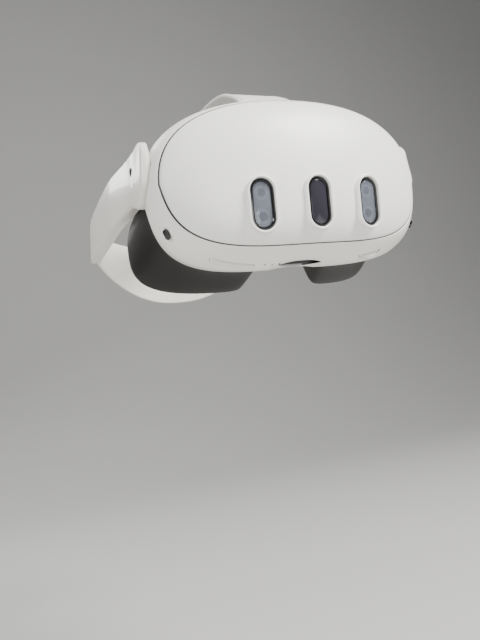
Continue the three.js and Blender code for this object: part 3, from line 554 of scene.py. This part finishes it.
for side in SIDES.values():
    out = Vector((side * 0.8, -0.42, -0.42)).normalized()
    up = (Vector((0, 0, 1)) - out * out.z).normalized()
    across = (-out).cross(up).normalized()
    place = Vector((side * 80.6, 5, -24))
    oval = [tuple(place + across * u + up * w + out * 6) for u, w in pill(4.1, 6.7)]
    cutters.append(prism("side_camera_slot", oval, -out * 8.2))
cut(housing, cutters)
finish_piece(housing, "visor", SHELL_WHITE, "warm_white", "main_housing", degrees=32)

# %% [markdown]
# ## Machined and moulded small parts
# Cameras, racks, pins, screws and boards already have their true shape in the CAD model, as hard-edged solids. A
# copy of each gets its edges rounded, because even a small radius catches the light, and a finish of its own.

# %% Pieces that keep their CAD shape
def from_cad(name, material, slot, bevel_mm=0.15, segments=2, degrees=35):
    source = frame["nodes"][name]
    piece = source.copy()
    piece.data = source.data.copy()
    piece.name = piece.data.name = f"{name}_finished"
    scene.collection.objects.link(piece)
    edit(piece)
    bpy.ops.mesh.remove_doubles(threshold=MERGE)
    bpy.ops.mesh.select_all(action="SELECT")
    bpy.ops.mesh.dissolve_limited(angle_limit=math.radians(1))
    deselect()
    if bevel_mm:
        modify(
            piece, "BEVEL", width=bevel_mm / 1000, segments=segments, limit_method="ANGLE",
            angle_limit=math.radians(degrees), use_clamp_overlap=True,
        )
    return finish_piece(piece, BODY_OF[name], material, slot, name, degrees=degrees)


for side in SIDES:
    from_cad(f"side_camera_{side}", GLOSS_BLACK, "black", 0.3, 3)
    from_cad(f"pivot_pin_{side}", BRUSHED, "steel", 0.3)
    from_cad(f"lens_barrel_{side}", SATIN_BLACK, "black", 0.3, degrees=30)
    from_cad(f"lens_{side}", EYE_GLASS, "eye_lens", 0, degrees=60)
    from_cad(f"display_{side}", SMOKED, "dark_glass", 0.2)
    from_cad(f"link_rack_{side}", SANDED, "light_metal")
    from_cad(f"speaker_{side}", SATIN_BLACK, "black", 0.3)
    from_cad(f"arm_cover_{side}", SHELL_WHITE, "warm_white", 0.35)
    for role in ("colour", "tracking"):
        from_cad(f"{role}_camera_{side}", GLOSS_BLACK, "black", 0.4, 3)
    for height in ("top", "low"):
        from_cad(f"frame_screw_{height}_{side}", BRUSHED, "steel", 0.2)
from_cad("depth_projector", SMOKED, "black", 0.4)
from_cad("chassis", SANDED, "light_metal")
from_cad("main_board", BOARD_GREEN, "board")
from_cad("heat_sink", SANDED, "light_metal")
from_cad("battery", CELL_WRAP, "cell", 0.8, 3)
from_cad("fan_housing", SATIN_BLACK, "black", 0.3)
from_cad("fan_rotor", SATIN_BLACK, "black", 0.12)
from_cad("rear_frame", SATIN_BLACK, "black", 0.3)
from_cad("proximity_sensor", SMOKED, "dark_glass", 0.3)
from_cad("lens_rail", BRUSHED, "steel", 0.2)
from_cad("drive_rack", SANDED, "light_metal")
from_cad("ipd_pinion", SANDED, "light_metal", 0.1)
from_cad("ipd_wheel", ARM_WHITE, "white", 0.12)
from_cad("power_button", SHELL_WHITE, "white", 0.3, 3)
from_cad("volume_rocker", ARM_WHITE, "white", 0.35, 3)
from_cad("usb_port", BRUSHED, "light_metal", 0.1)
from_cad("audio_jack", SATIN_BLACK, "black", 0.15)
from_cad("top_strap_anchor", SHELL_WHITE, "warm_white", 0.5, 3)
from_cad("rear_buckle", SHELL_WHITE, "warm_white", 0.5, 3)
from_cad("face_frame", SATIN_BLACK, "black", 0, degrees=40)

# %% [markdown]
# ## Side arms
# Each arm is one glossy moulding with a C-shaped section: a rounded outer wall, two flanges and an open back. The
# section is lofted along the arm, and the hollow is part of the same loft, so the wall thickness is real. The
# socket holes and the pivot hole are drilled afterwards.

# %% Arms
ARM_TOP = [(24, 32.5), (45, 35), (70, 38.2), (95, 41), (125, 43), (150, 44), (200, 44.6)]
ARM_LOW = [(24, -3.5), (38, 2.2), (65, 4.6), (90, 5.6), (125, 6.8), (160, 8), (200, 9.6)]
ARM_FRONT, ARM_REAR = PIVOT_Y - PIVOT_REACH, 200
FRONT_ROUND = 3.6


def follow(table, y):
    """A smooth curve through the table's points: a cubic whose slopes come from its neighbours."""
    ys = [at for at, _ in table]
    k = max(0, min(len(table) - 2, sum(y >= at for at in ys) - 1))
    before, after = max(0, k - 1), min(len(table) - 1, k + 2)
    (y0, z0), (y1, z1) = table[k], table[k + 1]
    slope0 = (z1 - table[before][1]) / (y1 - ys[before])
    slope1 = (table[after][1] - z0) / (ys[after] - y0)
    t, span = min(1, max(0, (y - y0) / (y1 - y0))), y1 - y0
    return (
        (2 * t**3 - 3 * t * t + 1) * z0 + (t**3 - 2 * t * t + t) * span * slope0
        + (3 * t * t - 2 * t**3) * z1 + (t**3 - t * t) * span * slope1
    )


def arm_edges(y):
    if y > PIVOT_Y:
        return follow(ARM_LOW, y), follow(ARM_TOP, y)
    return arm_front(min(1, (PIVOT_Y - y) / PIVOT_REACH), PIVOT_REACH)


def arm_outside(y):
    if y > 150:
        return 91.5 * (1 - ((y - 150) / 135) ** 3.5) ** (1 / 3.5)
    into = max(0, FRONT_ROUND - (y - ARM_FRONT))
    return 88.7 + 2.8 * ease((y - 38) / 62) - FRONT_ROUND + math.sqrt(FRONT_ROUND**2 - into**2)


def arm_inside(y):
    depth = 5.4 + 0.8 * ease((y - 40) / 32)
    return min(arm_outside(max(y, 12)) - depth, arm_outside(y) - 0.4)


def arm_section(y, side):
    """The section as a closed loop. Its hollow is only as deep as the wall allows, and closes towards the front."""
    low, high = arm_edges(y)
    out, inside = arm_outside(y), arm_inside(y)
    hollow = ease((y - 46) / 3) * (out - 1.8 - inside)

    def lean(z):
        return 0.09 * (z - (low + high) / 2)

    r = max(0.15, min(2, (high - low) / 2.2, out - inside - 0.4 - lean(high)))
    turn = [math.radians(d) for d in range(0, 91, 15)]
    points = [(inside, low)]
    points += [(out - r - lean(low + r) + r * math.sin(a), low + r - r * math.cos(a)) for a in turn]
    points += [(out - r - lean(high - r) + r * math.cos(a), high - r + r * math.sin(a)) for a in turn]
    points.append((inside, high))
    z0, z1 = low + 1.5, high - 1.5
    if z1 < z0:
        z0 = z1 = (low + high) / 2
    points += [(inside, z1), (inside + max(0, hollow - lean(z1)), z1)]
    points += [(inside + max(0, hollow - lean(z0)), z0), (inside, z0)]
    ring = [(side * x, y, z) for x, z in points]
    return [*ring, ring[0]]


front_steps = [0.02, 0.12, 0.35, 0.7, 1.2, 1.8, 2.6, 3.5, 4.6, 6, 7.6, 9.4, 11.4, 13.6, 16]
arm_ys = [*[ARM_FRONT + d for d in front_steps], *spread(PIVOT_Y, 44, 8), 46, 46.6, 47.2, 47.8, 48.4, 49]
arm_ys += [*spread(52, ARM_REAR, 44)]
PORT_Y, PORT_Z = 32.5, 22
for name, side in SIDES.items():
    arm = skin(f"arm_{name}_moulding", [arm_section(y, side) for y in arm_ys])
    holes = [rod("pin_hole", "X", 3.3, side * 70, side * 86.6, PIVOT_Y, PIVOT_Z)]
    if name == "right":
        holes.append(rod("jack_hole", "X", 2.9, side * 80, side * 95, PORT_Y, PORT_Z))
    else:
        oval = [(80, PORT_Y + w, PORT_Z + u) for u, w in pill(4.2, 10)]
        holes.append(prism("socket_hole", oval, (15, 0, 0)))
    cut(arm, holes)
    finish_piece(arm, "head_strap", ARM_WHITE, "warm_white", f"arm_{name}", degrees=50)

# %% [markdown]
# ## Face cushion
# The cushion has a thin flexible skirt behind the visor and a padded roll that meets the face. The skirt is a
# skin through rings. The roll is a soft good, so it is a closed ring that is remeshed evenly, blown up as cloth for
# a few frames, and smoothed, because the cloth alone puckers more than thick foam does.

# %% The cushion's outline
FACE_HALF_WIDTH, FACE_CENTRE_Z, FACE_TOP, FACE_BOTTOM = 87.6, -15, 60, 36
FACE_EDGE_MIDDLE, FACE_EDGE_TEMPLE = 47, 80  # how far behind the rim the contact edge lies
FACE_START = 17.2  # where the skirt starts behind the rim
NOSE_HALF_WIDTH, NOSE_STEEPNESS, NOSE_FRONT, NOSE_REAR = 21, 12, 5.5, 25


def nose_lift(x, inset, arch):
    return arch / (1 + abs(x / (NOSE_HALF_WIDTH + inset)) ** NOSE_STEEPNESS)


def face_outline(angle, inset, arch):
    c, s = math.cos(angle), math.sin(angle)
    power = 2 / (1.95 if s >= 0 else 3.3)
    reach = FACE_TOP if s >= 0 else FACE_BOTTOM
    x = (FACE_HALF_WIDTH - inset) * math.copysign(abs(c) ** power, c)
    drop = (reach - inset) * math.copysign(abs(s) ** power, s)
    return x, FACE_CENTRE_Z + drop + nose_lift(x, inset, arch) * max(0, -drop / reach)


def face_point(angle, share, inset, extra=0):
    vx, vz = [0.93 * v for v in outline(angle)]
    arch = NOSE_FRONT + (NOSE_REAR - NOSE_FRONT) * share
    fx, fz = face_outline(angle, inset, arch)
    sx = vx * (1 - inset / HALF_WIDTH)
    sz = vz * (1 - inset / BOTTOM) + (nose_lift(vx, inset, NOSE_FRONT) if vz < 0 else 0)
    start = bow(vx, vz) * 1.1 + FACE_START
    edge = FACE_EDGE_MIDDLE + (FACE_EDGE_TEMPLE - FACE_EDGE_MIDDLE) * (fx / FACE_HALF_WIDTH) ** 2
    swell = ease(share)
    return sx + (fx - sx) * swell, start + (edge - start) * share + extra, sz + (fz - sz) * swell


# Angles round the cushion, closer together across the nose arch, where the outline turns fastest.
bottom = 1.5 * math.pi
arch = [bottom + math.radians(d) for d in spread(-9, 9, 60)]
rest = [bottom + math.radians(d) for d in spread(9, 351, 150)]
face_angles = [*arch, *rest[1:]]


def face_ring(share, inset, extra=0):
    ring = [face_point(a, share, inset, extra) for a in face_angles[:-1]]
    return [*ring, ring[0]]


# %% The skirt
skirt_rings = [face_ring(t, 0) for t in spread(0, 0.86, 16)]
skirt_rings += [face_ring(0.875, 0.5), face_ring(0.88, 1.5), face_ring(0.875, 2.6)]
skirt_rings += [face_ring(t, 3) for t in spread(0.86, 0, 10)]
skirt_rings.append(skirt_rings[0])
skirt = skin("face_cushion_skirt", skirt_rings)
finish_piece(skirt, "face_pad", PAD_SKIN, "foam", "face_cushion", degrees=60)

# %% The padded roll
ROLL_VOXEL_MM, ROLL_PRESSURE, ROLL_CAP_MM, ROLL_FRAMES = 4, 4, 1.6, 20
ROLL_SLACK_MM = 1.0  # the roll starts this much slimmer, because it swells


def inflate(piece):
    start = [vertex.co.copy() for vertex in piece.data.vertices]
    pick(piece)
    bpy.ops.object.modifier_add(type="CLOTH")
    cloth = piece.modifiers[-1]
    cloth.settings.use_pressure = True
    cloth.settings.uniform_pressure_force = ROLL_PRESSURE
    cloth.settings.effector_weights.gravity = 0
    cloth.point_cache.frame_end = ROLL_FRAMES
    for step in range(1, ROLL_FRAMES + 1):
        scene.frame_set(step)
    bpy.ops.object.modifier_apply(modifier=cloth.name)
    scene.frame_set(1)
    for vertex, before in zip(piece.data.vertices, start):
        move = vertex.co - before
        if move.length > ROLL_CAP_MM / 1000:
            vertex.co = before + move.normalized() * ROLL_CAP_MM / 1000


roll_rings = []
for degrees in range(0, 181, 15):
    a = math.radians(degrees)
    inset = 6.5 - (6.5 - ROLL_SLACK_MM) * math.cos(a)
    roll_rings.append(face_ring(0.9 + 0.08 * math.sin(a), inset, 0.8 * math.sin(a)))
roll_rings += [face_ring(0.86, 11.6), face_ring(0.84, 8), face_ring(0.86, 4), face_ring(0.88, 1.6)]
roll_rings.append(roll_rings[0])
roll = skin("face_pad_roll", roll_rings)
modify(roll, "REMESH", mode="VOXEL", voxel_size=ROLL_VOXEL_MM / 1000)
modify(roll, "SMOOTH", factor=0.5, iterations=4)
inflate(roll)
modify(roll, "SMOOTH", factor=0.5, iterations=8)
modify(roll, "SUBSURF", levels=1, render_levels=1)
finish_piece(roll, "face_pad", PAD_FOAM, "foam", degrees=80)

# %% [markdown]
# ## Rear band
# A smooth flexible band runs inside the arms and round the back of the head. It is swept along its path with a
# rounded section, and it dips and widens behind the head.

# %% Rear band
BAND_LEG, BAND_THICKNESS = 87, 2.1  # half the gap between the legs' outer faces
BAND_FRONT, BAND_TURN, BAND_DEPTH = 124, 188, 80  # where the legs start, where they turn, and how deep the turn is
BAND_SLIDE = 22  # the band's front end slides this far into the arms
BAND_ROUND = 1.0


def band_point(k, inset):
    a = k * math.pi / 2
    return (BAND_LEG - inset) * math.cos(a) ** 0.8, BAND_TURN + (BAND_DEPTH - inset) * math.sin(a) ** 0.8


def band_ring(outer, inner, y, back):
    low = follow(ARM_LOW, y) + 2.25 - 31.5 * ease(back)
    high = follow(ARM_TOP, y - BAND_SLIDE) - 1.85 - 7 * ease(back)
    (ox, oy), (ix, iy) = outer, inner
    r = BAND_ROUND
    ring = []
    for start, z in ((-90, low + r), (0, high - r), (90, high - r), (180, low + r)):
        for degrees in range(0, 91, 30):
            a = math.radians(start + degrees)
            share = (1 - math.cos(a)) / 2
            ring.append((ox + (ix - ox) * share, oy + (iy - oy) * share, z + r * math.sin(a)))
    return [*ring, ring[0]]


inner_leg = BAND_LEG - BAND_THICKNESS
half = [band_ring((BAND_LEG, y), (inner_leg, y), y, 0) for y in spread(BAND_FRONT, BAND_TURN, 16)]
for k in spread(0, 1, 44)[1:]:
    outer, inner = band_point(k, 0), band_point(k, BAND_THICKNESS)
    back = (k - 0.2) / 0.8 if (outer[1] - BAND_TURN) / BAND_DEPTH > 0.12 else 0
    half.append(band_ring(outer, inner, outer[1], back))
mirrored = [[(-x, y, z) for x, y, z in ring] for ring in half[-2::-1]]
band = skin("rear_strap_band", [*half, *mirrored])
finish_piece(band, "rear_band", BAND_WHITE, "strap", "rear_strap", degrees=50)

# %% [markdown]
# ## Top strap
# The top strap is flat elastic webbing, 38 mm wide. It crosses two joints, so it is two ribbons that meet under a
# plastic slider on the crown.
# Each is a swept ribbon with rolled edges, and two rows of stitching run along it.

# %% Top strap
TOP_PATH = [
    (20.5, 53.5), (19.4, 57.5), (21, 62), (26, 67), (34, 72.6), (46, 79.4), (62, 84.4), (85, 88.6), (112, 90.5),
    (140, 89), (170, 82.5), (200, 71.5), (228, 57.5), (250, 44),
]
STRAP_HALF_WIDTH, STRAP_HALF_THICKNESS = 19, 1.0
CROWN = 0.5


def path_at(t):
    """A point of the strap's middle line and its upward direction, from a curve through the path's points."""
    lengths = [0]
    for (y0, z0), (y1, z1) in zip(TOP_PATH, TOP_PATH[1:]):
        lengths.append(lengths[-1] + math.hypot(y1 - y0, z1 - z0))
    at = t * lengths[-1]
    ys = list(zip(lengths, [y for y, _ in TOP_PATH]))
    zs = list(zip(lengths, [z for _, z in TOP_PATH]))
    here = Vector((0, follow(ys, at), follow(zs, at)))
    step = 0.5
    before = Vector((0, follow(ys, max(0, at - step)), follow(zs, max(0, at - step))))
    after = Vector((0, follow(ys, at + step), follow(zs, at + step)))
    along = (after - before).normalized()
    return here, Vector((0, -along.z, along.y))


def ribbon(name, t0, t1, count, half_width=STRAP_HALF_WIDTH, half_thickness=STRAP_HALF_THICKNESS, lift=0, x=0):
    rings = []
    for t in spread(t0, t1, count):
        here, up = path_at(t)
        ring = []
        for start, sx in ((-90, 1), (90, -1)):
            for degrees in range(0, 181, 30):
                a = math.radians(start + degrees)
                across = x + sx * (half_width - half_thickness) + half_thickness * math.cos(a)
                ring.append(tuple(here + Vector((across, 0, 0)) + up * (lift + half_thickness * math.sin(a))))
        rings.append([*ring, ring[0]])
    return skin(name, rings)


ribbons = {
    "front": (0, CROWN, ("visor", "head_strap"), 0.05, 0.42),
    "rear": (CROWN, 1, ("head_strap", "rear_band"), 0.58, 0.97),
}
for name, (t0, t1, bodies, blend_from, blend_to) in ribbons.items():
    piece = ribbon(f"top_strap_{name}", t0, t1, 90)
    finish_piece(piece, None, WEBBING, "webbing", degrees=60)
    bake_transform(piece)
    seams = [ribbon(f"stitching_{name}", t0 + 0.002, t1 - 0.002, 90, 0.45, 0.25, 1.0, x) for x in (-16.4, 16.4)]
    seam = finish_piece(join(seams), None, STITCH, "webbing", degrees=60)
    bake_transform(seam)
    if name == "front":
        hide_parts("top_strap")
slider = ribbon("top_strap_slider", CROWN - 0.022, CROWN + 0.022, 12, 21.5, 2.1)
finish_piece(slider, "head_strap", SHELL_WHITE, "webbing", degrees=50)

# %% [markdown]
# ## Stage and light
# The picture is a plain studio shot: a pale floor and backdrop, one broad soft light from the right front and above,
# a weaker fill from the left, and a low fill so that the underside isn't black.

# %% Stage
FLOOR_Z, WALL_Y, SWEEP = -0.36, 2.4, 1.2


def sweep_point(t):
    """The paper's section as (y, z): flat in front, then a quarter circle, then upright."""
    if t < 0.5:
        return -3 + (WALL_Y - SWEEP + 3) * t / 0.5, FLOOR_Z
    if t < 0.8:
        a = (t - 0.5) / 0.3 * math.pi / 2
        return WALL_Y - SWEEP + SWEEP * math.sin(a), FLOOR_Z + SWEEP - SWEEP * math.cos(a)
    return WALL_Y, FLOOR_Z + SWEEP + 2.5 * (t - 0.8) / 0.2


deselect()
bpy.ops.mesh.primitive_grid_add(x_subdivisions=2, y_subdivisions=40, size=2)
floor = bpy.context.object
floor.name = "studio_paper"
for vertex in floor.data.vertices:
    y, z = sweep_point((vertex.co.y + 1) / 2)
    vertex.co = Vector((vertex.co.x * 4, y, z))
floor.data.materials.append(finish("backdrop_paper", (0.52, 0.52, 0.51), 0.9, grain_mm=2, grain=0.02, drift=0.004))
smooth(floor)


def area_light(name, place, target, size, power, colour=(1, 1, 1)):
    light = bpy.data.objects.new(name, bpy.data.lights.new(name, "AREA"))
    scene.collection.objects.link(light)
    light.data.size = size
    light.data.energy = power
    light.data.color = colour
    light.location = place
    light.rotation_euler = (Vector(target) - Vector(place)).to_track_quat("-Z", "Y").to_euler()
    return light


area_light("key", (0.75, -0.95, 1.0), (0, -0.03, 0), 0.55, 62, (1, 0.985, 0.96))
area_light("fill", (-1.2, -0.5, 0.5), (0, -0.03, 0), 0.5, 11)
area_light("low", (-0.3, -1.3, -0.2), (0, -0.03, 0), 0.5, 4)
area_light("rear", (-0.6, 1.0, 0.9), (0, 0.05, 0), 0.8, 14)
world = bpy.data.worlds.new("studio")
scene.world = world
world.use_nodes = True
world.node_tree.nodes["Background"].inputs["Color"].default_value = (1, 1, 1, 1)
world.node_tree.nodes["Background"].inputs["Strength"].default_value = 0.24
